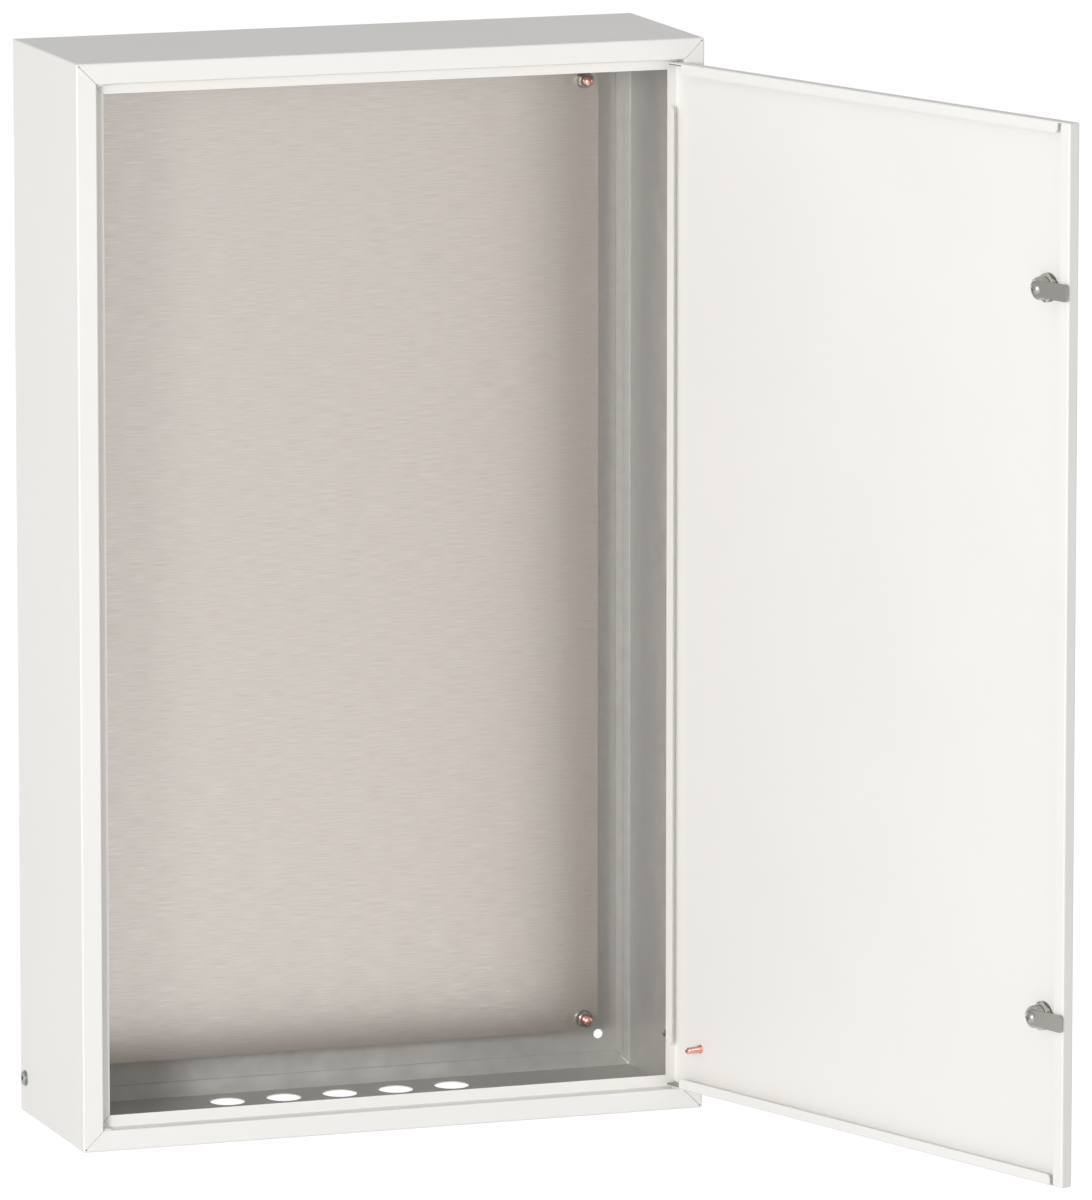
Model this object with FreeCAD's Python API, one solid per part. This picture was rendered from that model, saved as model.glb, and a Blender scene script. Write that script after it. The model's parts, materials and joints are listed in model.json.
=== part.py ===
import FreeCAD, Part
import math
import os

from FreeCAD import Vector

# Wall-mounted sheet-steel electrical enclosure, 1000 high, 600 wide and 200 deep, in millimetres.
# +X is to the right seen from the front, +Y points to the wall and +Z is up.
# The origin is the centre of the four wall-fixing holes, on the rear plane.
# The door is built shut and then swung open to its rest angle about the hinge axis.

# Cabinet shell: four folded walls that meet in mitres, and a flat back.
cabinet_width = 600.0
cabinet_height = 1000.0
cabinet_depth = 200.0
sheet = 1.2
bend_inside = 0.6
face_flange = 19.5          # front flange, seen as the frame around the door
lip_reach = 10.5            # inner lip, past the rebate
rear_flange = 9.5           # outer strip of the rear flange
rear_landing = 6.5          # inner strip, one sheet further forward, that the back lies on
back_clearance = 0.4        # around the back, inside the rear flange
mitre_gap = 0.4
mitre_start = 2.6           # from each outer side to the relief hole of the mitre
relief_radius = 0.8

# Wall fixing and cable entry.
fixing_inset = 32.5         # from the cabinet's outer sides
fixing_hole_radius = 4.5
entry_count = 5
entry_pitch = 55.0
entry_radius = 16.25
entry_to_rear = 35.0        # hole centres forward of the rear plane

# Mounting panel on four studs.
panel_margin = 45.0         # from the cabinet's outer sides
panel_thickness = 2.0
panel_front = 35.0          # its front face, forward of the rear plane
panel_chamfer = 10.0
stud_radius = 4.0
stud_tip = 52.0             # forward of the rear plane
stud_inset = 14.0           # from the mounting panel's side edges
stud_end_inset = 11.0       # from the mounting panel's top and bottom edges
stud_clearance = 0.4
stud_chamfer = 0.8
spacer_radius = 7.0
panel_washer_radius = 8.0
panel_washer_thickness = 1.6
panel_nut_flats = 13.0
panel_nut_height = 6.5

# Door pan.
door_recess = 2.5           # its face behind the cabinet's front face
door_depth = 12.0
door_to_lip = 1.0           # seal space between the pan and the cabinet's inner lip
door_free_gap = 1.25
door_hinge_gap = 1.75
door_end_gap = 2.2
free_lip = 12.0
hinged_lip = 9.3
end_lip = 10.0
lip_round = 4.5
end_lip_free_inset = 16.5   # top and bottom lips stop short of the free edge
end_lip_hinge_inset = 20.6  # and short of the hinged edge
hinged_lip_inset = 40.0     # the hinge-side lip stops short of the top and bottom

# Hinges: a headed pin through the rebate and its plate, and a leaf inside the door.
hinge_inset = 5.7           # axis from the rebate's side
hinge_setback = 6.0         # axis behind the front face
open_angle = 109.6
pin_radius = 1.25
pin_fit = 0.05              # radial running clearance in the leaf
pin_flange_clearance = 0.25
pin_overrun = 1.0
pin_head_radius = 2.2
pin_head_height = 1.2
hinge_plate_side = 10.0
hinge_plate_thickness = 1.0
plug_radius = 4.65
plug_height = 1.3
leaf_thickness = 1.5
leaf_length = 40.0
leaf_clearance = 0.15
seat_clearance = 0.05
hinge_washer_radius = 3.0

# Quarter-turn cam locks.
lock_inset = 38.5           # axis from the door's free edge
lock_end_inset = 150.3      # from the door's top and bottom edges
lock_head_radius = 14.0
lock_head_height = 3.0
lock_head_chamfer = 1.2
lock_body_radius = 10.0
lock_hole_clearance = 0.1
lock_washer_radius = 13.0
lock_washer_thickness = 1.0
lock_nut_flats = 23.0
lock_nut_height = 5.5
core_radius = 6.0
core_fit = 0.06
core_flange_radius = 7.5
core_flange_height = 1.2
core_front_drop = 0.8       # core face below the face of the head
core_end_play = 0.1
key_pocket_radius = 3.2
key_pocket_depth = 8.0
key_pin_radius = 1.4
key_wing_width = 2.2
key_wing_reach = 4.8
cam_stand_off = 0.3         # cam behind the cabinet's inner lip, door shut
cam_thickness = 2.2
cam_overhang = 2.0          # tip past the door's free edge
cam_root_width = 14.0
cam_tip_width = 15.6
cam_tip_round = 2.5
cam_square = 8.0
cam_square_fit = 0.05
cam_screw_radius = 2.5
cam_screw_depth = 8.0
cam_screw_end_gap = 0.5
cam_screw_head_radius = 6.0
cam_screw_head_height = 3.6
cross_recess_width = 1.4
cross_recess_length = 6.0
cross_recess_depth = 1.4

# Earthing points.
earth_stud_radius = 3.0
earth_stud_length = 16.0
earth_stud_chamfer = 0.5
earth_stud_base_radius = 4.2
earth_stud_base_height = 1.0
door_stud_from_hinged = 38.5    # from the door's hinged edge
door_stud_from_bottom = 39.8    # above the door's bottom edge
wall_stud_to_rear = 140.0
wall_stud_from_bottom = 59.6    # above the cabinet's underside
earth_nut_flats = 10.0
earth_nut_height = 5.0
earth_bolt_to_rear = 16.0
earth_bolt_from_bottom = 33.0
earth_bolt_head_radius = 6.2
earth_bolt_head_height = 2.2
earth_bolt_head_round = 0.7
earth_bolt_socket_flats = 4.0
earth_bolt_socket_depth = 1.6
earth_bolt_length = 14.0
outer_washer_radius = 7.5
outer_washer_thickness = 0.8
thread_clearance = 0.02         # between a screw and its nut or hole
nut_face_share = 0.98           # of the width across flats left flat by the corner chamfer
nut_chamfer_angle = 30.0
cut_margin = 1.0                # how far a cutting shape passes through

half_width = cabinet_width / 2
half_height = cabinet_height / 2
front = -cabinet_depth
bend_outside = bend_inside + sheet
lip_front = front + door_recess + door_depth + door_to_lip
lip_back = lip_front + sheet
lip_edge = face_flange + lip_reach
landing_front = -2 * sheet
opening_half_width = half_width - face_flange
opening_half_height = half_height - face_flange

axis_x = opening_half_width - hinge_inset
axis_y = front + hinge_setback
door_left = -opening_half_width + door_free_gap
door_right = opening_half_width - door_hinge_gap
door_half_height = opening_half_height - door_end_gap
door_face = front + door_recess
door_back = door_face + door_depth
door_inside = door_face + sheet
lock_x = door_left + lock_inset
lock_heights = {"upper": door_half_height - lock_end_inset, "lower": lock_end_inset - door_half_height}
cam_length = lock_inset + cam_overhang
cam_front = lip_back + cam_stand_off
cam_back = cam_front + cam_thickness
panel_face = -panel_front
panel_rear = panel_face + panel_thickness
panel_half_width = half_width - panel_margin
panel_half_height = half_height - panel_margin
stud_x = panel_half_width - stud_inset
stud_z = panel_half_height - stud_end_inset


def box(x0, x1, y0, y1, z0, z1):
    return Part.makeBox(x1 - x0, y1 - y0, z1 - z0, Vector(x0, y0, z0))


def rod(radius, length, start, direction):
    return Part.makeCylinder(radius, length, start, direction)


def ring(radius, bore, length, start, direction):
    return rod(radius, length, start, direction).cut(rod(bore, length, start, direction))


def rounded_wire(corners):
    # A closed outline through (point, radius) corners: straight sides and tangent arcs.
    edges = []
    ends = []
    for index, (point, radius) in enumerate(corners):
        before = corners[index - 1][0]
        after = corners[(index + 1) % len(corners)][0]
        if radius == 0:
            ends.append((point, point, None))
            continue
        back = (before - point).normalize()
        ahead = (after - point).normalize()
        half = back.getAngle(ahead) / 2
        trim = radius / math.tan(half)
        middle = (back + ahead).normalize()
        crown = point + middle * (radius / math.sin(half) - radius)
        ends.append((point + back * trim, point + ahead * trim, crown))
    for index, (start, finish, crown) in enumerate(ends):
        if crown is not None:
            edges.append(Part.Arc(start, crown, finish).toShape())
        following = ends[(index + 1) % len(ends)][0]
        if finish.distanceToPoint(following) > 1e-6:
            edges.append(Part.LineSegment(finish, following).toShape())
    return Part.Wire(edges)


def plate(corners, start, thickness):
    # A flat plate from (x, z, radius) corners, from y = start towards +Y.
    outline = [(Vector(x, start, z), radius) for x, z, radius in corners]
    return Part.Face(rounded_wire(outline)).extrude(Vector(0, thickness, 0))


def hexagon(flats, height, start, direction):
    # A hexagonal prism; its corners are eased by a cone at each end, as on a real nut.
    corner_radius = flats / math.sqrt(3)
    points = []
    for step in range(6):
        angle = math.radians(60 * step + 30)
        points.append(Vector(corner_radius * math.cos(angle), corner_radius * math.sin(angle), 0))
    points.append(points[0])
    prism = Part.Face(Part.makePolygon(points)).extrude(Vector(0, 0, height))
    ease = corner_radius - flats / 2 * nut_face_share
    rise = ease * math.tan(math.radians(nut_chamfer_angle))
    lower = Part.makeCone(corner_radius - ease, corner_radius, rise, Vector(0, 0, 0))
    middle = Part.makeCylinder(corner_radius, height - 2 * rise, Vector(0, 0, rise))
    upper = Part.makeCone(corner_radius, corner_radius - ease, rise, Vector(0, 0, height - rise))
    prism = prism.common(lower.fuse([middle, upper]))
    turn = FreeCAD.Rotation(Vector(0, 0, 1), direction)
    prism.Placement = FreeCAD.Placement(start, turn)
    return prism


def nut(flats, height, bore, start, direction):
    return hexagon(flats, height, start, direction).cut(rod(bore, height, start, direction))


def four_corners(x, z):
    return [(side * x, end * z) for side in (-1, 1) for end in (-1, 1)]


# ---- cabinet shell ----

def wall_section():
    # The folded section of every wall as (inward, y, radius): flange, rebate and lip at the front,
    # and a joggled flange at the rear.
    return [
        (lip_edge, lip_front, 0),
        (face_flange, lip_front, bend_inside),
        (face_flange, front, bend_outside),
        (0, front, bend_outside),
        (0, 0, bend_outside),
        (rear_flange, 0, 0),
        (rear_flange, -sheet, 0),
        (rear_flange + rear_landing, -sheet, 0),
        (rear_flange + rear_landing, landing_front, 0),
        (rear_flange - sheet, landing_front, 0),
        (rear_flange - sheet, -sheet, 0),
        (sheet, -sheet, bend_inside),
        (sheet, front + sheet, bend_inside),
        (face_flange - sheet, front + sheet, bend_inside),
        (face_flange - sheet, lip_back, bend_outside),
        (lip_edge, lip_back, 0),
    ]


def mitred_wall(place, length_vector, wedge):
    outline = [(place(inward, y), radius) for inward, y, radius in wall_section()]
    wall = Part.Face(rounded_wire(outline)).extrude(length_vector)
    return wall.common(wedge).common(shell_envelope())


def shell_envelope():
    corners = [(x, z, bend_outside) for x, z in
               ((-half_width, -half_height), (half_width, -half_height),
                (half_width, half_height), (-half_width, half_height))]
    return plate(corners, front, cabinet_depth)


def mitre_wedge(corner_a, corner_b, inward):
    # What lies nearer to the side from corner_a to corner_b than to its neighbours.
    reach = lip_edge + 5 * cut_margin
    along = Vector(corner_b[0] - corner_a[0], 0, corner_b[1] - corner_a[1]).normalize()
    points = [
        Vector(corner_a[0], front, corner_a[1]),
        Vector(corner_b[0], front, corner_b[1]),
        Vector(corner_b[0], front, corner_b[1]) + (inward - along) * reach,
        Vector(corner_a[0], front, corner_a[1]) + (inward + along) * reach,
    ]
    points.append(points[0])
    return Part.Face(Part.makePolygon(points)).extrude(Vector(0, cabinet_depth, 0))


def mitre_slots():
    # The open mitres of the front and rear flanges, each ending in a round relief hole.
    slots = []
    depths = ((front - cut_margin, lip_back + cut_margin), (landing_front - cut_margin, cut_margin))
    for x, z in four_corners(half_width, half_height):
        inward = Vector(-math.copysign(1, x), 0, -math.copysign(1, z))
        across = Vector(inward.z, 0, -inward.x) * (mitre_gap / 2 / math.sqrt(2))
        for start, finish in depths:
            corner = Vector(x, start, z)
            near = corner + inward * mitre_start
            far = corner + inward * (lip_edge + 3 * cut_margin)
            points = [near + across, far + across, far - across, near - across, near + across]
            run = Vector(0, finish - start, 0)
            slots.append(Part.Face(Part.makePolygon(points)).extrude(run))
            slots.append(rod(relief_radius, finish - start, near, Vector(0, 1, 0)))
    return slots


def make_walls():
    w, h = half_width, half_height
    up = Vector(0, 0, cabinet_height)
    right = Vector(cabinet_width, 0, 0)
    slots = mitre_slots()
    left = mitred_wall(lambda u, y: Vector(-w + u, y, -h), up,
                       mitre_wedge((-w, -h), (-w, h), Vector(1, 0, 0)))
    right_side = mitred_wall(lambda u, y: Vector(w - u, y, -h), up,
                             mitre_wedge((w, -h), (w, h), Vector(-1, 0, 0)))
    top = mitred_wall(lambda u, y: Vector(-w, y, h - u), right,
                      mitre_wedge((-w, h), (w, h), Vector(0, 0, -1)))
    bottom = mitred_wall(lambda u, y: Vector(-w, y, -h + u), right,
                         mitre_wedge((-w, -h), (w, -h), Vector(0, 0, 1)))
    bolt_hole = rod(earth_stud_radius + stud_clearance, 3 * sheet,
                    Vector(-w - sheet, -earth_bolt_to_rear, -h + earth_bolt_from_bottom), Vector(1, 0, 0))
    entries = [rod(entry_radius, 3 * sheet, Vector(x, -entry_to_rear, -h - sheet), Vector(0, 0, 1))
               for x in entry_positions()]
    return {
        "left_wall": left.cut(slots + [bolt_hole]),
        "right_wall": right_side.cut(slots),
        "top_wall": top.cut(slots + [rebate_hole(side, 1) for side in (-1, 1)]),
        "bottom_wall": bottom.cut(slots + entries + [rebate_hole(side, -1) for side in (-1, 1)]),
    }


def entry_positions():
    return [(index - (entry_count - 1) / 2) * entry_pitch for index in range(entry_count)]


def make_back_panel():
    x = half_width - rear_flange - back_clearance
    z = half_height - rear_flange - back_clearance
    back = box(-x, x, -sheet, 0, -z, z)
    holes = [rod(fixing_hole_radius, 3 * sheet, Vector(hole_x, -2 * sheet, hole_z), Vector(0, 1, 0))
             for hole_x, hole_z in four_corners(half_width - fixing_inset, half_height - fixing_inset)]
    return back.cut(holes)


# ---- mounting panel and its studs ----

def at_studs(make):
    return Part.makeCompound([make(x, z) for x, z in four_corners(stud_x, stud_z)])


def make_mounting_panel():
    x = panel_half_width
    z = panel_half_height
    c = panel_chamfer
    corners = [(-x + c, -z, 0), (x - c, -z, 0), (x, -z + c, 0), (x, z - c, 0),
               (x - c, z, 0), (-x + c, z, 0), (-x, z - c, 0), (-x, -z + c, 0)]
    panel = plate(corners, panel_face, panel_thickness)
    holes = [rod(stud_radius + stud_clearance, 2 * panel_thickness,
                 Vector(hole_x, panel_face - panel_thickness / 2, hole_z), Vector(0, 1, 0))
             for hole_x, hole_z in four_corners(stud_x, stud_z)]
    return panel.cut(holes)


def panel_stud(x, z):
    length = stud_tip - sheet
    stud = rod(stud_radius, length, Vector(x, -sheet, z), Vector(0, -1, 0))
    tip_edges = [edge for edge in stud.Edges if edge.BoundBox.YMax < -stud_tip + stud_chamfer / 2]
    return stud.makeChamfer(stud_chamfer, tip_edges)


def panel_spacer(x, z):
    return ring(spacer_radius, stud_radius + stud_clearance, -sheet - panel_rear,
                Vector(x, panel_rear, z), Vector(0, 1, 0))


def panel_washer(x, z):
    return ring(panel_washer_radius, stud_radius + stud_clearance, panel_washer_thickness,
                Vector(x, panel_face, z), Vector(0, -1, 0))


def panel_nut(x, z):
    return nut(panel_nut_flats, panel_nut_height, stud_radius + thread_clearance,
               Vector(x, panel_face - panel_washer_thickness, z), Vector(0, -1, 0))


# ---- hinges ----

def vertical_rod(radius, x, y, z0, z1):
    return rod(radius, abs(z1 - z0), Vector(x, y, min(z0, z1)), Vector(0, 0, 1))


def rebate_hole(side, end):
    seat = end * opening_half_height
    return vertical_rod(pin_radius + thread_clearance, side * axis_x, axis_y,
                        seat - end * cut_margin, seat + end * (sheet + cut_margin))


def hinge_plate(side, end):
    # A square plate welded on the far side of the rebate, around the pin's hole.
    half = hinge_plate_side / 2
    x = side * axis_x
    front_edge = front + sheet + bend_outside - bend_inside
    near = end * (opening_half_height + sheet)
    far = near + end * hinge_plate_thickness
    blank = box(x - half, x + half, front_edge, front_edge + hinge_plate_side,
                min(near, far), max(near, far))
    return blank.cut(vertical_rod(pin_radius + thread_clearance, x, axis_y, near, far))


def hinge_pin(end):
    plate_top = opening_half_height + sheet + hinge_plate_thickness
    tip = door_half_height - sheet - leaf_thickness - pin_overrun
    point = pin_radius / 3
    head = vertical_rod(pin_head_radius, axis_x, axis_y,
                        end * plate_top, end * (plate_top + pin_head_height))
    shank = vertical_rod(pin_radius, axis_x, axis_y, end * (tip + point), end * plate_top)
    cone = Part.makeCone(pin_radius, pin_radius - point, point,
                         Vector(axis_x, axis_y, end * (tip + point)), Vector(0, 0, -end))
    return head.fuse([shank, cone]).removeSplitter()


def lower_hinge_washer():
    # It fills the gap under the door and carries the door's weight.
    seat = -opening_half_height
    return ring(hinge_washer_radius, pin_radius + pin_fit, door_end_gap - 2 * seat_clearance,
                Vector(axis_x, axis_y, seat), Vector(0, 0, 1))


def spare_plug(end):
    # A push-in plug that closes the hinge hole on the side without a hinge.
    seat = end * opening_half_height
    cap = vertical_rod(plug_radius, -axis_x, axis_y, seat, seat - end * plug_height)
    stem = vertical_rod(pin_radius, -axis_x, axis_y, seat, seat + end * (sheet + hinge_plate_thickness))
    return cap.fuse(stem).removeSplitter()


def hinge_leaf(end):
    # A strap welded under the door's end flange, with an eye for the pin.
    near = end * (door_half_height - sheet)
    far = near - end * leaf_thickness
    strap = box(door_right - leaf_length, door_right - sheet - leaf_clearance,
                door_inside + leaf_clearance, door_back - sheet - bend_inside - leaf_clearance,
                min(near, far), max(near, far))
    return strap.cut(vertical_rod(pin_radius + pin_fit, axis_x, axis_y, near, far))


# ---- door, in its shut position ----

def door_envelope():
    z = door_half_height
    solid = box(door_left, door_right, door_face, door_back, -z, z)
    return solid.makeFillet(bend_outside, solid.Edges)


def door_lips():
    z = door_half_height
    r = lip_round
    start = door_back - sheet
    free = [(door_left, -z, 0), (door_left + free_lip, -z, r),
            (door_left + free_lip, z, r), (door_left, z, 0)]
    hinge_end = z - hinged_lip_inset
    hinged = [(door_right, -hinge_end, 0), (door_right, hinge_end, 0),
              (door_right - hinged_lip, hinge_end, r), (door_right - hinged_lip, -hinge_end, r)]
    lips = [plate(free, start, sheet), plate(hinged, start, sheet)]
    x0 = door_left + end_lip_free_inset
    x1 = door_right - end_lip_hinge_inset
    for end in (-1, 1):
        inner = end * (z - end_lip)
        outline = [(x0, end * z, 0), (x1, end * z, 0), (x1, inner, r), (x0, inner, r)]
        lips.append(plate(outline, start, sheet))
    return lips


def make_door_panel():
    z = door_half_height
    envelope = door_envelope()
    hollow = box(door_left + sheet, door_right - sheet, door_inside, door_back + cut_margin,
                 -z + sheet, z - sheet)
    pan = envelope.cut(hollow).fuse([lip.common(envelope) for lip in door_lips()]).removeSplitter()
    cuts = [vertical_rod(pin_radius + pin_flange_clearance, axis_x, axis_y,
                         end * (z + cut_margin), end * (z - sheet - cut_margin)) for end in (-1, 1)]
    for height in lock_heights.values():
        cuts.append(rod(lock_body_radius + lock_hole_clearance, 3 * sheet,
                        Vector(lock_x, door_face - sheet, height), Vector(0, 1, 0)))
    return pan.cut(cuts)


def make_door_earth_stud():
    x = door_right - door_stud_from_hinged
    z = -door_half_height + door_stud_from_bottom
    return weld_stud(Vector(x, door_inside, z), Vector(0, 1, 0))


def weld_stud(start, direction):
    base = rod(earth_stud_base_radius, earth_stud_base_height, start, direction)
    straight = earth_stud_length - earth_stud_chamfer
    shank = rod(earth_stud_radius, straight, start, direction)
    tip = Part.makeCone(earth_stud_radius, earth_stud_radius - earth_stud_chamfer, earth_stud_chamfer,
                        start + direction * straight, direction)
    return base.fuse([shank, tip]).removeSplitter()


# ---- locks, in the shut door ----

def lock_point(height, y):
    return Vector(lock_x, y, height)


def lock_housing(height):
    inward = Vector(0, 1, 0)
    head_front = door_face - lock_head_height
    head = rod(lock_head_radius, lock_head_height, lock_point(height, head_front), inward)
    rim = [edge for edge in head.Edges if edge.BoundBox.YMax < head_front + lock_head_chamfer]
    head = head.makeChamfer(lock_head_chamfer, rim)
    body_end = cam_front - core_end_play
    body = rod(lock_body_radius, body_end - door_face, lock_point(height, door_face), inward)
    bore = rod(core_radius + core_fit, body_end - head_front, lock_point(height, head_front), inward)
    seat_depth = core_front_drop + core_flange_height
    seat = rod(core_flange_radius + core_fit, seat_depth, lock_point(height, head_front), inward)
    return head.fuse(body).removeSplitter().cut([bore, seat])


def lock_core(height):
    inward = Vector(0, 1, 0)
    face = door_face - lock_head_height + core_front_drop
    flange = rod(core_flange_radius, core_flange_height, lock_point(height, face), inward)
    barrel = rod(core_radius, cam_front - face, lock_point(height, face), inward)
    half = cam_square / 2
    square = box(lock_x - half, lock_x + half, cam_front - cut_margin, cam_back - core_end_play,
                 height - half, height + half)
    core = flange.fuse([barrel, square]).removeSplitter()
    pocket = rod(key_pocket_radius, key_pocket_depth, lock_point(height, face), inward)
    key_pin = rod(key_pin_radius, key_pocket_depth, lock_point(height, face), inward)
    wings = box(lock_x - key_wing_reach, lock_x + key_wing_reach, face, face + key_pocket_depth,
                height - key_wing_width / 2, height + key_wing_width / 2)
    thread = rod(cam_screw_radius + thread_clearance, cam_screw_depth,
                 lock_point(height, cam_back - core_end_play), Vector(0, -1, 0))
    return core.cut([pocket.fuse(wings).cut(key_pin), thread])


def lock_washer(height):
    return ring(lock_washer_radius, lock_body_radius + lock_hole_clearance, lock_washer_thickness,
                lock_point(height, door_inside), Vector(0, 1, 0))


def lock_nut(height):
    return nut(lock_nut_flats, lock_nut_height, lock_body_radius + thread_clearance,
               lock_point(height, door_inside + lock_washer_thickness), Vector(0, 1, 0))


def lock_cam(height):
    # Round at the axis, a little wider at the tip; at rest it points to the door's free edge.
    root = cam_root_width / 2
    tip = cam_tip_width / 2
    far = lock_x - cam_length
    blade = plate([(lock_x, height - root, 0), (lock_x, height + root, 0),
                   (far, height + tip, cam_tip_round), (far, height - tip, cam_tip_round)],
                  cam_front, cam_thickness)
    hub = rod(root, cam_thickness, lock_point(height, cam_front), Vector(0, 1, 0))
    half = cam_square / 2 + cam_square_fit
    hole = box(lock_x - half, lock_x + half, cam_front - cut_margin, cam_back + cut_margin,
               height - half, height + half)
    return blade.fuse(hub).removeSplitter().cut(hole)


def cam_screw(height):
    # A domed head with a cross recess, on a short shank in the core.
    head_height = cam_screw_head_height
    head_radius = cam_screw_head_radius
    dome_radius = (head_radius ** 2 + head_height ** 2) / (2 * head_height)
    centre = lock_point(height, cam_back + head_height - dome_radius)
    keep = rod(head_radius, head_height, lock_point(height, cam_back), Vector(0, 1, 0))
    dome = Part.makeSphere(dome_radius, centre).common(keep)
    top = cam_back + head_height
    recess = []
    for wide, tall in ((cross_recess_length, cross_recess_width), (cross_recess_width, cross_recess_length)):
        recess.append(box(lock_x - wide / 2, lock_x + wide / 2, top - cross_recess_depth, top + cut_margin,
                          height - tall / 2, height + tall / 2))
    shank = rod(cam_screw_radius, cam_screw_depth - cam_screw_end_gap, lock_point(height, cam_back),
                Vector(0, -1, 0))
    return dome.cut(recess).fuse(shank).removeSplitter()


# ---- earthing points on the cabinet ----

def make_earth_bolt():
    y = -earth_bolt_to_rear
    z = -half_height + earth_bolt_from_bottom
    outward = Vector(-1, 0, 0)
    under_head = -half_width - outer_washer_thickness
    head = rod(earth_bolt_head_radius, earth_bolt_head_height, Vector(under_head, y, z), outward)
    face = under_head - earth_bolt_head_height
    rim = [edge for edge in head.Edges if edge.BoundBox.XMax < face + earth_bolt_head_round]
    head = head.makeFillet(earth_bolt_head_round, rim)
    socket = hexagon(earth_bolt_socket_flats, 2 * earth_bolt_socket_depth,
                     Vector(face - earth_bolt_socket_depth, y, z), Vector(1, 0, 0))
    shank = rod(earth_stud_radius, earth_bolt_length, Vector(under_head, y, z), Vector(1, 0, 0))
    return head.fuse(shank).removeSplitter().cut(socket)


def make_earth_bolt_washer():
    start = Vector(-half_width, -earth_bolt_to_rear, -half_height + earth_bolt_from_bottom)
    return ring(outer_washer_radius, earth_stud_radius + stud_clearance, outer_washer_thickness,
                start, Vector(-1, 0, 0))


def make_earth_bolt_nut():
    start = Vector(-half_width + sheet, -earth_bolt_to_rear, -half_height + earth_bolt_from_bottom)
    return nut(earth_nut_flats, earth_nut_height, earth_stud_radius + thread_clearance,
               start, Vector(1, 0, 0))


def make_wall_earth_stud():
    seat = Vector(half_width - sheet, -wall_stud_to_rear, -half_height + wall_stud_from_bottom)
    return weld_stud(seat, Vector(-1, 0, 0))


def cabinet_pieces():
    pieces = make_walls()
    pieces["back_panel"] = make_back_panel()
    pieces["mounting_panel"] = make_mounting_panel()
    pieces["panel_studs"] = at_studs(panel_stud)
    pieces["panel_spacers"] = at_studs(panel_spacer)
    pieces["panel_washers"] = at_studs(panel_washer)
    pieces["panel_nuts"] = at_studs(panel_nut)
    ends = {"upper": 1, "lower": -1}
    for name, end in ends.items():
        pieces[name + "_hinge_plate"] = hinge_plate(1, end)
        pieces[name + "_hinge_pin"] = hinge_pin(end)
    pieces["lower_hinge_washer"] = lower_hinge_washer()
    pieces["spare_hinge_plates"] = Part.makeCompound([hinge_plate(-1, end) for end in ends.values()])
    pieces["spare_hinge_plugs"] = Part.makeCompound([spare_plug(end) for end in ends.values()])
    pieces["earth_bolt"] = make_earth_bolt()
    pieces["earth_bolt_washer"] = make_earth_bolt_washer()
    pieces["earth_bolt_nut"] = make_earth_bolt_nut()
    pieces["wall_earth_stud"] = make_wall_earth_stud()
    return pieces


def door_pieces():
    pieces = {"door_panel": make_door_panel(), "door_earth_stud": make_door_earth_stud()}
    for name, end in (("upper", 1), ("lower", -1)):
        pieces[name + "_hinge_leaf"] = hinge_leaf(end)
    for name, height in lock_heights.items():
        pieces[name + "_lock_housing"] = lock_housing(height)
        pieces[name + "_lock_washer"] = lock_washer(height)
        pieces[name + "_lock_nut"] = lock_nut(height)
        pieces[name + "_lock_core"] = lock_core(height)
        pieces[name + "_cam"] = lock_cam(height)
        pieces[name + "_cam_screw"] = cam_screw(height)
    for shape in pieces.values():
        shape.rotate(Vector(axis_x, axis_y, 0), Vector(0, 0, 1), open_angle)
    return pieces


def write_pieces(pieces):
    os.makedirs("parts", exist_ok=True)
    for name, shape in pieces.items():
        shape.exportStep("parts/" + name + ".step")
        print(name, "solids", len(shape.Solids), "volume", round(shape.Volume, 1), "valid", shape.isValid())


write_pieces(cabinet_pieces())
write_pieces(door_pieces())
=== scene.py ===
import json
import math

import bmesh
import bpy
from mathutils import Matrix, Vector


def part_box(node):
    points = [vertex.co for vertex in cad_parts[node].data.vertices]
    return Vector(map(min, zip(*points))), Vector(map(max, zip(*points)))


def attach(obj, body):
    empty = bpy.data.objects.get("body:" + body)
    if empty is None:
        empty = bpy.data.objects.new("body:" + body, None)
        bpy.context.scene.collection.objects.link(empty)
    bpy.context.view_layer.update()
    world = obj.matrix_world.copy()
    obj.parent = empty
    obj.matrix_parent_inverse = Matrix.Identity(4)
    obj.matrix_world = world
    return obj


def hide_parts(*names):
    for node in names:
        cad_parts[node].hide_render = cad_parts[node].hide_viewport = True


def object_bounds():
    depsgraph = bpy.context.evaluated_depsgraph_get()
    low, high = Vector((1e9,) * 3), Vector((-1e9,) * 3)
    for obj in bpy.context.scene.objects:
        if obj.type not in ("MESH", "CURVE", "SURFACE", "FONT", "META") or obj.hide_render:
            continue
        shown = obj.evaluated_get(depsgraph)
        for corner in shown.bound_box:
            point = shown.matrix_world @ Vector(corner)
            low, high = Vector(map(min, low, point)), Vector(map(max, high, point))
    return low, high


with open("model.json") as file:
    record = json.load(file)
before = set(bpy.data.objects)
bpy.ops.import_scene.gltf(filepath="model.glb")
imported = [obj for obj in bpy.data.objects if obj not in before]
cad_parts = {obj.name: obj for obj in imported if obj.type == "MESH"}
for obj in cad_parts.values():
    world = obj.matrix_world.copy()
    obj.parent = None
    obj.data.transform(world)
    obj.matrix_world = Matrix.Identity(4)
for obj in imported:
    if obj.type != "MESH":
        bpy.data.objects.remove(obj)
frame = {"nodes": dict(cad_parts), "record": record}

cadBox = [list(corner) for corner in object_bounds()]
nodes = frame["nodes"]
scene = bpy.context.scene
print("frame loaded:", len(nodes), "nodes")


def mm(value):
    return value / 1000


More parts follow.
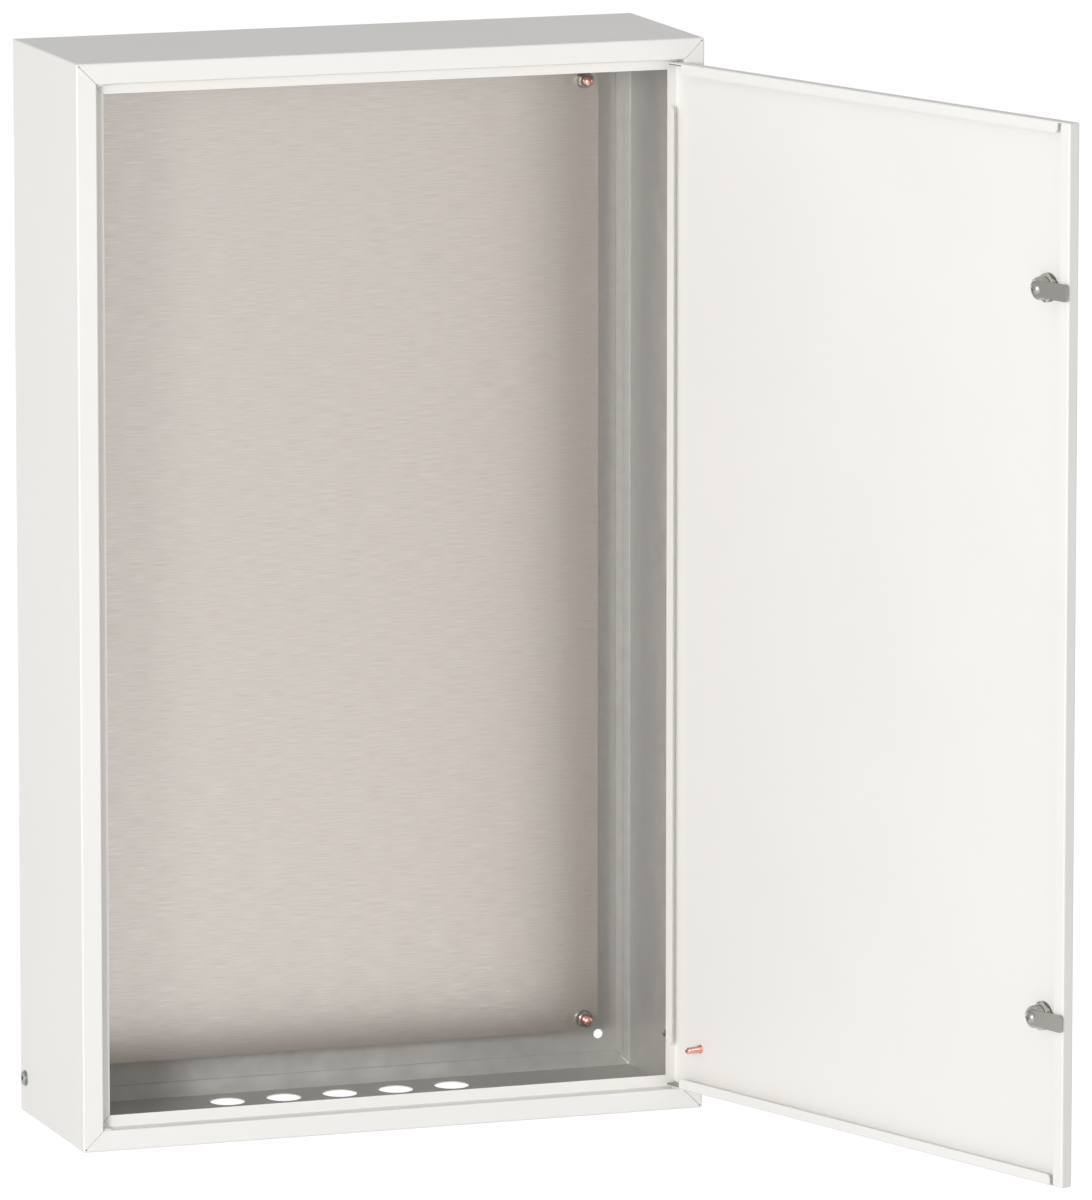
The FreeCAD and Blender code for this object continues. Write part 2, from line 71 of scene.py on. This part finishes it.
def hexToLinear(text):
    # "#RRGGBB" in sRGB to a linear RGBA tuple
    channels = [int(text[i:i + 2], 16) / 255 for i in (1, 3, 5)]
    linear = [c / 12.92 if c <= 0.04045 else ((c + 0.055) / 1.055) ** 2.4 for c in channels]
    return (*linear, 1.0)


def addNode(tree, kind, settings=None, links=None):
    # settings holds socket values or node properties, links holds the sockets that feed this node;
    # a number is a socket's place, and a colour Mix has its inputs at 6 and 7 and its result at 2
    node = tree.nodes.new(kind)
    for key, value in (settings or {}).items():
        if isinstance(key, int) or key in node.inputs:
            node.inputs[key].default_value = value
        else:
            setattr(node, key, value)
    for key, socket in (links or {}).items():
        tree.links.new(socket, node.inputs[key])
    return node


def newMaterial(name):
    material = bpy.data.materials.new(name)
    material.use_nodes = True
    tree = material.node_tree
    tree.nodes.clear()
    return material, tree


camera = {
    "lens": 348.885,            # mm
    "sensor": 36.0,             # mm wide
    "farthest": 100.0,          # m, how far it sees
    "place": (-3.30235, -10.13026, 1.80193),
    "tilt": 80.204,             # degrees up from straight down
    "turn": -19.152,            # degrees from straight ahead, to the right
}


def makeCamera():
    data = bpy.data.cameras.new("camera")
    data.lens = camera["lens"]
    data.sensor_width = camera["sensor"]
    data.clip_end = camera["farthest"]
    holder = bpy.data.objects.new("camera", data)
    holder.location = camera["place"]
    holder.rotation_euler = (math.radians(camera["tilt"]), 0, math.radians(camera["turn"]))
    scene.collection.objects.link(holder)
    scene.camera = holder


makeCamera()
print("camera placed")


studio = {
    "horizonLevel": 0.97,       # world light from the sides
    "zenithLevel": 0.50,        # from straight above
    "leftLift": 0.22,           # more from the left, less from the right
    "groundLevel": 0.52,        # from below
    "keyPower": 215.0,          # W, a soft box to the front and left
    "keySize": 1.4,             # m
    "keyPlace": (-4.0, -5.4, 1.1),
    "keyTarget": (0.0, -0.2, 0.0),
    "floorDrop": 0.75,          # m below the cabinet: it hangs on a wall
    "floorSize": 60.0,
    "floorColour": "#E9E9E9",
    "floorLift": 0.6,           # so that the camera sees it near white
}


def seenDirectly(tree):
    # 1 where the camera, a reflection or glass looks at the background
    path = addNode(tree, "ShaderNodeLightPath").outputs
    either = addNode(tree, "ShaderNodeMath", {"operation": "MAXIMUM"},
                     {0: path["Is Camera Ray"], 1: path["Is Glossy Ray"]}).outputs[0]
    return addNode(tree, "ShaderNodeMath", {"operation": "MAXIMUM"},
                   {0: either, 1: path["Is Transmission Ray"]}).outputs[0]


def makeWorld():
    world = bpy.data.worlds.new("studio")
    world.use_nodes = True
    scene.world = world
    tree = world.node_tree
    tree.nodes.clear()
    direction = addNode(tree, "ShaderNodeTexCoord").outputs["Generated"]
    parts = addNode(tree, "ShaderNodeSeparateXYZ", links={"Vector": direction}).outputs
    height = parts["Z"]
    up = addNode(tree, "ShaderNodeMapRange", {"From Min": 0.0, "From Max": 1.0,
                 "To Min": studio["horizonLevel"], "To Max": studio["zenithLevel"]},
                 {"Value": height}).outputs["Result"]
    down = addNode(tree, "ShaderNodeMapRange", {"From Min": -1.0, "From Max": 0.0,
                   "To Min": studio["groundLevel"], "To Max": studio["horizonLevel"]},
                   {"Value": height}).outputs["Result"]
    level = addNode(tree, "ShaderNodeMath", {"operation": "MINIMUM"}, {0: up, 1: down}).outputs[0]
    side = addNode(tree, "ShaderNodeMath", {"operation": "MULTIPLY_ADD", 1: -studio["leftLift"],
                   2: 1.0}, {0: parts["X"]}).outputs[0]
    level = addNode(tree, "ShaderNodeMath", {"operation": "MULTIPLY"}, {0: level, 1: side}).outputs[0]
    light = addNode(tree, "ShaderNodeBackground", links={"Strength": level})
    white = addNode(tree, "ShaderNodeBackground", {"Strength": 1.0})
    seen = seenDirectly(tree)
    mix = addNode(tree, "ShaderNodeMixShader",
                  links={0: seen, 1: light.outputs[0], 2: white.outputs[0]})
    addNode(tree, "ShaderNodeOutputWorld", links={"Surface": mix.outputs[0]})


def makeKeyLight():
    data = bpy.data.lights.new("softBox", "AREA")
    data.shape = "SQUARE"
    data.size = studio["keySize"]
    data.energy = studio["keyPower"]
    lamp = bpy.data.objects.new("softBox", data)
    lamp.location = studio["keyPlace"]
    aim = Vector(studio["keyTarget"]) - lamp.location
    lamp.rotation_euler = aim.to_track_quat("-Z", "Y").to_euler()
    scene.collection.objects.link(lamp)


def makeFloor():
    size = studio["floorSize"] / 2
    level = cadBox[0][2] - studio["floorDrop"]
    mesh = bpy.data.meshes.new("studioFloor")
    corners = [(-size, -size, level), (size, -size, level), (size, size, level), (-size, size, level)]
    mesh.from_pydata(corners, [], [(0, 1, 2, 3)])
    floor = bpy.data.objects.new("studioFloor", mesh)
    scene.collection.objects.link(floor)
    material, tree = newMaterial("paleFloor")
    glow = addNode(tree, "ShaderNodeMath", {"operation": "MULTIPLY", 1: studio["floorLift"]},
                   {0: seenDirectly(tree)})
    paint = addNode(tree, "ShaderNodeBsdfDiffuse", {"Color": hexToLinear(studio["floorColour"])})
    lift = addNode(tree, "ShaderNodeEmission", links={"Strength": glow.outputs[0]})
    both = addNode(tree, "ShaderNodeAddShader", links={0: paint.outputs[0], 1: lift.outputs[0]})
    addNode(tree, "ShaderNodeOutputMaterial", links={"Surface": both.outputs[0]})
    mesh.materials.append(material)


makeWorld()
makeKeyLight()
makeFloor()
scene.view_settings.view_transform = "Standard"
print("studio lit")


noiseSpread = {"From Min": 0.3, "From Max": 0.7}    # where most of a noise texture's values lie

powderCoat = {
    "colour": "#F1EFEC",        # warm light grey polyester powder
    "shade": "#ECEAE6",         # slightly thinner film
    "patchSize": 180.0,         # mm, drift of the film's thickness
    "grainSize": 2.2,           # mm; the real texture is about 0.5, drawn coarser so that it shows
    "grainHeight": 0.035,       # mm
    "roughness": (0.42, 0.56),
}


def powderCoatedSteel():
    # fine-textured powder coat: an even, warm grey skin with a soft broken sheen
    material, tree = newMaterial("powderCoatedSteel")
    where = addNode(tree, "ShaderNodeTexCoord").outputs["Object"]
    shader = coatShader(tree, where)
    addNode(tree, "ShaderNodeOutputMaterial", links={"Surface": shader.outputs[0]})
    return material


def coatShader(tree, where):
    patches = addNode(tree, "ShaderNodeTexNoise", {"Scale": 1 / mm(powderCoat["patchSize"]),
                      "Detail": 2.0}, {"Vector": where}).outputs["Fac"]
    tint = addNode(tree, "ShaderNodeMix", {"data_type": "RGBA", 6: hexToLinear(powderCoat["colour"]),
                   7: hexToLinear(powderCoat["shade"])}, {0: patches}).outputs[2]
    grain = addNode(tree, "ShaderNodeTexNoise", {"Scale": 1 / mm(powderCoat["grainSize"]),
                    "Detail": 3.0, "Roughness": 0.6}, {"Vector": where}).outputs["Fac"]
    low, high = powderCoat["roughness"]
    rough = addNode(tree, "ShaderNodeMapRange", {**noiseSpread, "To Min": low, "To Max": high},
                    {"Value": grain}).outputs["Result"]
    bump = addNode(tree, "ShaderNodeBump", {"Distance": mm(powderCoat["grainHeight"]), "Strength": 1.0},
                   {"Height": grain}).outputs["Normal"]
    return addNode(tree, "ShaderNodeBsdfPrincipled", {"IOR": 1.5},
                   {"Base Color": tint, "Roughness": rough, "Normal": bump})


# the inside's darker grey: partly bare zinc, partly painted shade of the dim hollow inside the cabinet
zincAndInsideShade = {
    "light": "#D0CECA",
    "dark": "#BDBBB7",
    "spangleSize": 14.0,        # mm, minimised spangle
    "grainSize": 1.6,           # mm; really finer, drawn so that it shows
    "grainHeight": 0.01,        # mm
    "roughness": (0.34, 0.48),
    "metallic": 0.42,           # passivated zinc is part dull oxide
    "sheet": 1.2,               # mm, thickness of the walls
    "lipDepth": 16.7,           # mm from the front to the back of the inner lip
}


def zincAndInsideShadeShader(tree, where):
    spangle = addNode(tree, "ShaderNodeTexNoise", {"Scale": 1 / mm(zincAndInsideShade["spangleSize"]),
                      "Detail": 3.0}, {"Vector": where}).outputs["Fac"]
    tint = addNode(tree, "ShaderNodeMix", {"data_type": "RGBA", 6: hexToLinear(zincAndInsideShade["dark"]),
                   7: hexToLinear(zincAndInsideShade["light"])}, {0: spangle}).outputs[2]
    grain = addNode(tree, "ShaderNodeTexNoise", {"Scale": 1 / mm(zincAndInsideShade["grainSize"]), "Detail": 2.0},
                    {"Vector": where}).outputs["Fac"]
    low, high = zincAndInsideShade["roughness"]
    rough = addNode(tree, "ShaderNodeMapRange", {**noiseSpread, "To Min": low, "To Max": high},
                    {"Value": spangle}).outputs["Result"]
    bump = addNode(tree, "ShaderNodeBump", {"Distance": mm(zincAndInsideShade["grainHeight"]), "Strength": 1.0},
                   {"Height": grain}).outputs["Normal"]
    return addNode(tree, "ShaderNodeBsdfPrincipled", {"Metallic": zincAndInsideShade["metallic"]},
                   {"Base Color": tint, "Roughness": rough, "Normal": bump})


def coatedOutsidePaintedShadeInside():
    # pre-galvanised sheet, powder coated on the outside and the frame; the inside is drawn as a darker
    # bare zinc grey, and part of that darkness is painted shade of the cabinet's hollow interior
    material, tree = newMaterial("coatedSteelZincAndShadeInside")
    where = addNode(tree, "ShaderNodeTexCoord").outputs["Object"]
    half = mm(zincAndInsideShade["sheet"] / 2)
    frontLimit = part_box("left_wall")[0].y + mm(zincAndInsideShade["lipDepth"]) - half
    middle = addNode(tree, "ShaderNodeSeparateXYZ", links={"Vector": where}).outputs
    limits = ((0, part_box("left_wall")[0].x + half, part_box("right_wall")[1].x - half),
              (1, frontLimit, -half),
              (2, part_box("bottom_wall")[0].z + half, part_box("top_wall")[1].z - half))
    inside = None
    for axis, start, end in limits:
        above = addNode(tree, "ShaderNodeMath", {"operation": "GREATER_THAN", 1: start},
                        {0: middle[axis]})
        below = addNode(tree, "ShaderNodeMath", {"operation": "LESS_THAN", 1: end},
                        {0: middle[axis]})
        between = addNode(tree, "ShaderNodeMath", {"operation": "MULTIPLY"},
                          {0: above.outputs[0], 1: below.outputs[0]}).outputs[0]
        if inside:
            between = addNode(tree, "ShaderNodeMath", {"operation": "MULTIPLY"},
                              {0: inside, 1: between}).outputs[0]
        inside = between
    # inside the box the darker zinc grey is used, which also paints in the shade of the hollow
    mix = addNode(tree, "ShaderNodeMixShader", links={0: inside, 1: coatShader(tree, where).outputs[0],
                  2: zincAndInsideShadeShader(tree, where).outputs[0]})
    addNode(tree, "ShaderNodeOutputMaterial", links={"Surface": mix.outputs[0]})
    return material


galvanised = {
    "light": "#DDD6D0",
    "dark": "#B7AFA9",
    "grainWidth": 0.9,          # mm across the rolling marks; really finer, drawn so that they show
    "grainLength": 26.0,        # mm along them
    "grainHeight": 0.03,        # mm
    "roughness": (0.27, 0.42),
    "anisotropy": 0.35,
}


def galvanisedSheet():
    # hot-dip galvanised sheet, skin-passed: bare grey metal with fine marks along the rolling direction
    material, tree = newMaterial("galvanisedSheet")
    where = addNode(tree, "ShaderNodeTexCoord").outputs["Object"]
    stretch = (1 / mm(galvanised["grainLength"]), 1.0, 1 / mm(galvanised["grainWidth"]))
    along = addNode(tree, "ShaderNodeMapping", {"Scale": stretch}, {"Vector": where}).outputs["Vector"]
    grain = addNode(tree, "ShaderNodeTexNoise", {"Scale": 1.0, "Detail": 3.0, "Roughness": 0.65},
                    {"Vector": along}).outputs["Fac"]
    tint = addNode(tree, "ShaderNodeMix", {"data_type": "RGBA", 6: hexToLinear(galvanised["dark"]),
                   7: hexToLinear(galvanised["light"])}, {0: grain}).outputs[2]
    low, high = galvanised["roughness"]
    rough = addNode(tree, "ShaderNodeMapRange", {**noiseSpread, "To Min": high, "To Max": low},
                    {"Value": grain}).outputs["Result"]
    bump = addNode(tree, "ShaderNodeBump", {"Distance": mm(galvanised["grainHeight"]), "Strength": 1.0},
                   {"Height": grain}).outputs["Normal"]
    shader = addNode(tree, "ShaderNodeBsdfPrincipled", {"Metallic": 0.92,
                     "Anisotropic": galvanised["anisotropy"]},
                     {"Base Color": tint, "Roughness": rough, "Normal": bump})
    addNode(tree, "ShaderNodeOutputMaterial", links={"Surface": shader.outputs[0]})
    return material


def platedMetal(name, finish):
    # a plated or cast metal: its own colour, a broken gloss and a faint skin texture
    material, tree = newMaterial(name)
    where = addNode(tree, "ShaderNodeTexCoord").outputs["Object"]
    cloud = addNode(tree, "ShaderNodeTexNoise", {"Scale": 1 / mm(finish["markSize"]), "Detail": 4.0,
                    "Roughness": 0.6}, {"Vector": where}).outputs["Fac"]
    tint = addNode(tree, "ShaderNodeMix", {"data_type": "RGBA", 6: hexToLinear(finish["dark"]),
                   7: hexToLinear(finish["light"])}, {0: cloud}).outputs[2]
    low, high = finish["roughness"]
    rough = addNode(tree, "ShaderNodeMapRange", {**noiseSpread, "To Min": low, "To Max": high},
                    {"Value": cloud}).outputs["Result"]
    bump = addNode(tree, "ShaderNodeBump", {"Distance": mm(finish["markHeight"]), "Strength": 1.0},
                   {"Height": cloud}).outputs["Normal"]
    shader = addNode(tree, "ShaderNodeBsdfPrincipled", {"Metallic": 1.0},
                     {"Base Color": tint, "Roughness": rough, "Normal": bump})
    addNode(tree, "ShaderNodeOutputMaterial", links={"Surface": shader.outputs[0]})
    return material


platings = {                    # mark sizes and heights in mm
    # bright zinc on stamped steel: neutral grey with a satin gloss
    "zincPlatedSteel": {"light": "#AFAEAA", "dark": "#979691", "markSize": 3.0, "markHeight": 0.01,
                        "roughness": (0.28, 0.42)},
    # copper-plated weld studs: pale pink metal
    "copperPlatedSteel": {"light": "#F1BEB0", "dark": "#DB998B", "markSize": 1.5, "markHeight": 0.006,
                          "roughness": (0.22, 0.36)},
    # zinc die-casting, tumbled and lacquered: duller, with a soft cast skin
    "dieCastZinc": {"light": "#C2C1BD", "dark": "#A6A5A0", "markSize": 2.0, "markHeight": 0.02,
                    "roughness": (0.34, 0.5)},
    # nickel plating on turned parts: warm and bright
    "nickelPlate": {"light": "#C9C5BD", "dark": "#B1ADA5", "markSize": 2.5, "markHeight": 0.006,
                    "roughness": (0.16, 0.28)},
}

nylon = {
    "light": "#E4E2DA",
    "dark": "#D8D6CD",
    "markSize": 1.2,            # mm, cloudiness of the moulding
    "markHeight": 0.01,         # mm
    "roughness": 0.45,
    "depth": 1.0,               # mm that light gets under the skin
}


def naturalNylon():
    # moulded natural nylon: milky, slightly waxy
    material, tree = newMaterial("naturalNylon")
    where = addNode(tree, "ShaderNodeTexCoord").outputs["Object"]
    cloud = addNode(tree, "ShaderNodeTexNoise", {"Scale": 1 / mm(nylon["markSize"]), "Detail": 2.0},
                    {"Vector": where}).outputs["Fac"]
    tint = addNode(tree, "ShaderNodeMix", {"data_type": "RGBA", 6: hexToLinear(nylon["dark"]),
                   7: hexToLinear(nylon["light"])}, {0: cloud}).outputs[2]
    bump = addNode(tree, "ShaderNodeBump", {"Distance": mm(nylon["markHeight"])}, {"Height": cloud})
    shader = addNode(tree, "ShaderNodeBsdfPrincipled", {"Roughness": nylon["roughness"], "IOR": 1.53,
                     "Subsurface Weight": 0.1, "Subsurface Scale": mm(nylon["depth"])},
                     {"Base Color": tint, "Normal": bump.outputs["Normal"]})
    addNode(tree, "ShaderNodeOutputMaterial", links={"Surface": shader.outputs[0]})
    return material


finishOfSlot = {
    "powder_coated_steel": powderCoatedSteel(),
    "galvanised_steel": galvanisedSheet(),
    "zinc_plated_steel": platedMetal("zincPlatedSteel", platings["zincPlatedSteel"]),
    "copper_plated_steel": platedMetal("copperPlatedSteel", platings["copperPlatedSteel"]),
    "zinc_die_cast": platedMetal("dieCastZinc", platings["dieCastZinc"]),
    "nickel_plated_zinc": platedMetal("nickelPlate", platings["nickelPlate"]),
    "nylon": naturalNylon(),
}
# walls and back: powder coat outside, darker zinc grey with painted shade inside
shellFinish = coatedOutsidePaintedShadeInside()


def dressCadNodes():
    for part in frame["record"]["subparts"]:
        name = part["node"]
        finish = finishOfSlot[part["material_slot"]]
        if name.endswith("_wall") or name == "back_panel":
            finish = shellFinish
        nodes[name].data.materials.clear()
        nodes[name].data.materials.append(finish)


dressCadNodes()
print("finishes made")

edgeRounding = {"segments": 2, "sharpAngle": 40}    # degrees

edges = {                       # mm, rounding of sheared, stamped and turned edges
    "left_wall": 0.2, "right_wall": 0.2, "top_wall": 0.2, "bottom_wall": 0.2, "back_panel": 0.2,
    "mounting_panel": 0.25, "door_panel": 0.25, "panel_spacers": 0.3, "panel_washers": 0.25,
    "panel_nuts": 0.2, "upper_hinge_plate": 0.15, "lower_hinge_plate": 0.15,
    "spare_hinge_plates": 0.15, "spare_hinge_plugs": 0.3, "lower_hinge_washer": 0.2,
    "upper_hinge_leaf": 0.2, "lower_hinge_leaf": 0.2,
    "earth_bolt": 0.15, "earth_bolt_washer": 0.15, "earth_bolt_nut": 0.2,
    "upper_cam": 0.4, "lower_cam": 0.4, "upper_cam_screw": 0.2, "lower_cam_screw": 0.2,
    "upper_lock_washer": 0.2, "lower_lock_washer": 0.2, "upper_lock_nut": 0.25, "lower_lock_nut": 0.25,
    "upper_lock_core": 0.15, "lower_lock_core": 0.15, "upper_hinge_pin": 0.15, "lower_hinge_pin": 0.15,
}


def softenEdges():
    for name, width in edges.items():
        bevel = nodes[name].modifiers.new("roundedEdges", "BEVEL")
        bevel.width = mm(width)
        bevel.segments = edgeRounding["segments"]
        bevel.limit_method = "ANGLE"
        bevel.angle_limit = math.radians(edgeRounding["sharpAngle"])
        bevel.harden_normals = True


softenEdges()
print("edges rounded")


turning = {
    "stepsPerPitch": 8,         # rings along one turn of a thread
    "segments": 40,             # round a stud or screw
    "smallSegments": 32,
    "largeSegments": 64,
    "sharpAngle": 50,           # degrees, above which an edge stays crisp
    "crestWidth": 1.25,         # above 1 the crest is flattened
}


def threadRadius(thread, along, turn):
    # the crest is flattened and the root comes to a point, near enough to a rolled thread
    phase = (along / thread["pitch"] - turn / (2 * math.pi)) % 1.0
    ridge = min(1.0, turning["crestWidth"] * abs(2 * phase - 1.0))
    return thread["radius"] - thread["depth"] * (1 - ridge)


def addRings(profile, thread):
    # the profile's own points, and closely spaced ones along a straight run that carries a thread
    rings = []
    for index, (radius, along) in enumerate(profile):
        rings.append((radius, along, False))
        nextRadius, nextAlong = profile[(index + 1) % len(profile)]
        run = nextAlong - along
        if radius == nextRadius == thread["radius"] and abs(run) > thread["pitch"]:
            steps = round(abs(run) * turning["stepsPerPitch"] / thread["pitch"])
            rings += [(radius, along + run * step / steps, True) for step in range(1, steps)]
    return rings


def newPiece(name, mesh):
    data = bpy.data.meshes.new(name)
    mesh.to_mesh(data)
    mesh.free()
    data.set_sharp_from_angle(angle=math.radians(turning["sharpAngle"]))
    piece = bpy.data.objects.new(name, data)
    scene.collection.objects.link(piece)
    return piece


def turnedPiece(name, profile, start, direction, thread, threadStart, segments):
    # profile is (radius, distance) pairs in mm round the section; past threadStart it gets a helix
    mesh = bmesh.new()
    turn = Vector((0, 0, 1)).rotation_difference(Vector(direction)).to_matrix()
    rows = []
    for radius, along, threaded in addRings(profile, thread):
        row = []
        for segment in range(segments):
            angle = 2 * math.pi * segment / segments
            reach = radius
            if threaded and along >= threadStart:
                fade = min(1.0, (along - threadStart) / thread["pitch"])
                reach = radius + (threadRadius(thread, along, angle) - radius) * fade
            point = Vector((mm(reach) * math.cos(angle), mm(reach) * math.sin(angle), mm(along)))
            row.append(mesh.verts.new(Vector(start) + turn @ point))
        rows.append(row)
    hollow = profile[0][0] > 0
    for index in range(len(rows) if hollow else len(rows) - 1):
        here, there = rows[index], rows[(index + 1) % len(rows)]
        for segment in range(segments):
            after = (segment + 1) % segments
            mesh.faces.new((here[segment], here[after], there[after], there[segment]))
    bmesh.ops.remove_doubles(mesh, verts=mesh.verts, dist=mm(0.001))
    bmesh.ops.recalc_face_normals(mesh, faces=mesh.faces)
    for face in mesh.faces:
        face.smooth = True
    return newPiece(name, mesh)


def joinPieces(name, pieces):
    mesh = bmesh.new()
    for piece in pieces:
        mesh.from_mesh(piece.data)
        bpy.data.objects.remove(piece)
    return newPiece(name, mesh)


def finishPiece(piece, body, slotName, node):
    piece.data.materials.append(finishOfSlot[slotName])
    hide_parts(node)
    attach(piece, body)


panelStud = {                   # mm; M8 coarse, rolled
    "radius": 4.0, "pitch": 1.25, "depth": 0.77, "chamfer": 0.8,
    "threadStart": 30.0,        # from the foot
}


def makePanelStuds():
    low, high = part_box("panel_studs")
    radius, chamfer = panelStud["radius"], panelStud["chamfer"]
    length = (high.y - low.y) / mm(1)
    profile = [(0.0, 0.0), (radius, 0.0), (radius, length - chamfer), (radius - chamfer, length),
               (0.0, length)]
    studs = []
    for x in (low.x + mm(radius), high.x - mm(radius)):
        for z in (low.z + mm(radius), high.z - mm(radius)):
            studs.append(turnedPiece("stud", profile, (x, high.y, z), (0, -1, 0), panelStud,
                                     panelStud["threadStart"], turning["segments"]))
    piece = joinPieces("threadedPanelStuds", studs)
    finishPiece(piece, "cabinet", "copper_plated_steel", "panel_studs")


earthStud = {                   # mm; M6 coarse weld stud with a collar
    "radius": 3.0, "pitch": 1.0, "depth": 0.61, "chamfer": 0.6, "length": 16.0,
    "collarRadius": 4.2, "collarHeight": 1.0, "collarEdge": 0.3,
    "plainLength": 0.5,         # above the collar, without thread
}
earthStudPlaces = {
    "doorEarthStud": ("door_earth_stud", "door", "copper_plated_steel"),
    "wallEarthStud": ("wall_earth_stud", "cabinet", "zinc_plated_steel"),
}


def makeEarthStuds():
    mounts = {mount["name"]: mount for mount in frame["record"]["mounts"]}
    radius, length, chamfer = earthStud["radius"], earthStud["length"], earthStud["chamfer"]
    collar, height, edge = earthStud["collarRadius"], earthStud["collarHeight"], earthStud["collarEdge"]
    profile = [(0.0, 0.0), (collar, 0.0), (collar, height - edge), (collar - edge, height),
               (radius, height), (radius, length - chamfer), (radius - chamfer, length), (0.0, length)]
    for name, (node, body, slotName) in earthStudPlaces.items():
        axis = Vector(mounts[node]["axis"])
        toMiddle = height + mounts[node]["dims"]["length_mm"] / 2
        start = Vector(mounts[node]["pos_m"]) - axis * mm(toMiddle)
        stud = turnedPiece(name, profile, start, axis, earthStud, height + earthStud["plainLength"],
                           turning["smallSegments"])
        finishPiece(stud, body, slotName, node)


lockHousing = {                 # mm from the front of the head, inwards; the barrel is M20 x 1.5
    "radius": 10.0, "pitch": 1.5, "depth": 0.92, "plainLength": 1.0, "length": 17.4,
    "headRadius": 14.0, "headHeight": 3.0, "headChamfer": 1.2,
    "boreRadius": 6.06, "seatRadius": 7.56, "seatDepth": 2.0,
    "edge": 0.4,                # rounding that the die leaves
}


def makeLockHousings():
    radius, length = lockHousing["radius"], lockHousing["length"]
    head, height = lockHousing["headRadius"], lockHousing["headHeight"]
    bore, seat, seatDepth = (lockHousing[key] for key in ("boreRadius", "seatRadius", "seatDepth"))
    chamfer, edge = lockHousing["headChamfer"], lockHousing["edge"]
    profile = [(seat, edge / 2), (seat + edge / 2, 0.0), (head - chamfer - edge, 0.0),
               (head - chamfer, edge / 3), (head - edge / 3, chamfer), (head, chamfer + edge),
               (head, height), (radius, height), (radius, length - edge), (radius - edge, length),
               (bore, length), (bore, seatDepth), (seat, seatDepth)]
    for joint in frame["record"]["behaviour"]["joints"]:
        if joint["name"].endswith("_lock_turn"):
            inward = Vector(joint["axis"])
            name = joint["name"].split("_")[0]
            start = Vector(joint["pos_m"]) - inward * mm(height)
            piece = turnedPiece(name + "LockHousing", profile, start, inward, lockHousing,
                                height + lockHousing["plainLength"], turning["largeSegments"])
            finishPiece(piece, "door", "zinc_die_cast", name + "_lock_housing")


makeEarthStuds()
makePanelStuds()
makeLockHousings()
print("threads cut")
